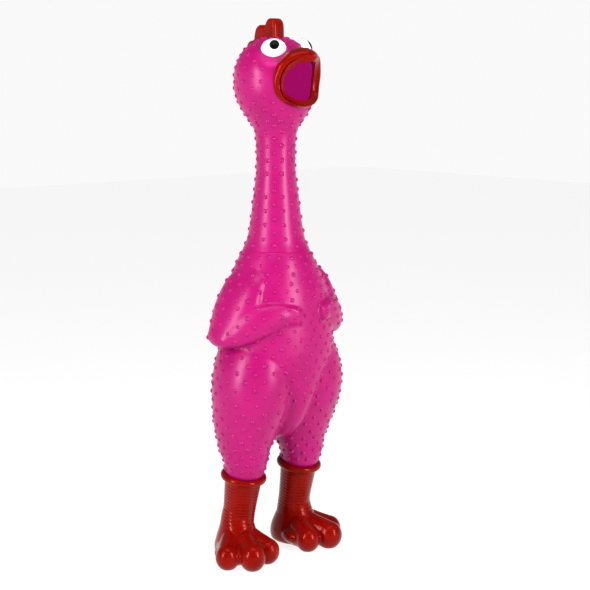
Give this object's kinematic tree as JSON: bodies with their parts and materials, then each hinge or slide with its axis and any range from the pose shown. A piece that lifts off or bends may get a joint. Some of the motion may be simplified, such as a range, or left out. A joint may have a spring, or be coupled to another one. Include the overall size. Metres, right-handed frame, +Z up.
{
  "type": "rubber chicken",
  "caption": "Tall standing rubber chicken squeeze toy: bumpy hollow vinyl body with folded wings, long bending neck, open beak, bulging eyes, comb, boots and a reed squeaker inside.",
  "frame": {"origin": "on the floor under the boot soles, at the middle of the plan outline", "axes": "+Z up along the neck; the chicken faces -Y; its right side is -X"},
  "size_m": [0.238, 0.1718, 0.7888],
  "materials": {
    "pink_skin": "moulded soft vinyl with raised bumps, satin gloss",
    "red_vinyl": "moulded soft vinyl, glossy",
    "eye_white": "glossy white",
    "pupil_black": "glossy black",
    "squeaker_plastic": "moulded polyethylene, matte",
    "reed_film": "polyester film, satin"
  },
  "bodies": {
    "trunk": {"torso_skin": "pink_skin", "neck_root_skin": "pink_skin", "neck_lower_flex": "pink_skin", "bulkhead_plug": "squeaker_plastic", "squeaker_tube": "squeaker_plastic", "squeaker_end_cap": "squeaker_plastic", "reed_shallot": "squeaker_plastic", "reed_wedge": "squeaker_plastic", "right_boot_cuff": "red_vinyl", "left_boot_cuff": "red_vinyl", "right_boot_flex": "red_vinyl", "left_boot_flex": "red_vinyl"},
    "neck": {"neck_skin": "pink_skin", "neck_upper_flex": "pink_skin"},
    "head": {"head_skin": "pink_skin", "beak": "red_vinyl", "comb": "red_vinyl", "right_eye": "eye_white", "left_eye": "eye_white", "right_pupil": "pupil_black", "left_pupil": "pupil_black"},
    "belly": {"belly_panel": "pink_skin"},
    "reed": {"reed": "reed_film"},
    "right_foot": {"right_boot_foot": "red_vinyl"},
    "left_foot": {"left_boot_foot": "red_vinyl"}
  },
  "joints": [
    {"name": "neck_nod", "type": "hinge", "parent": "trunk", "child": "neck", "pos_m": [0, 0, 0.5], "axis": [1, 0, 0], "range_deg": [-35, 35], "stiffness_Nm_per_rad": 10, "deforming": ["neck_lower_flex"]},
    {"name": "head_sway", "type": "hinge", "parent": "neck", "child": "head", "pos_m": [0, 0, 0.608], "axis": [0, 1, 0], "range_deg": [-35, 35], "stiffness_Nm_per_rad": 6, "deforming": ["neck_upper_flex"]},
    {"name": "belly_squeeze", "type": "slide", "parent": "trunk", "child": "belly", "axis": [0, 1, 0], "range_m": [0, 0.018], "stiffness_N_per_m": 1500},
    {"name": "reed_flutter", "type": "hinge", "parent": "trunk", "child": "reed", "pos_m": [0, 0.0007, 0.414], "axis": [1, 0, 0], "range_deg": [-2.5, 2], "stiffness_Nm_per_rad": 0.05},
    {"name": "right_ankle_bend", "type": "hinge", "parent": "trunk", "child": "right_foot", "pos_m": [-0.0546, 0.01787, 0.09166], "axis": [0.9511, -0.309, 0], "range_deg": [-18, 18], "stiffness_Nm_per_rad": 20, "deforming": ["right_boot_flex"]},
    {"name": "left_ankle_bend", "type": "hinge", "parent": "trunk", "child": "left_foot", "pos_m": [0.0546, 0.01787, 0.09166], "axis": [0.9511, 0.309, 0], "range_deg": [-18, 18], "stiffness_Nm_per_rad": 20, "deforming": ["left_boot_flex"]}
  ]
}
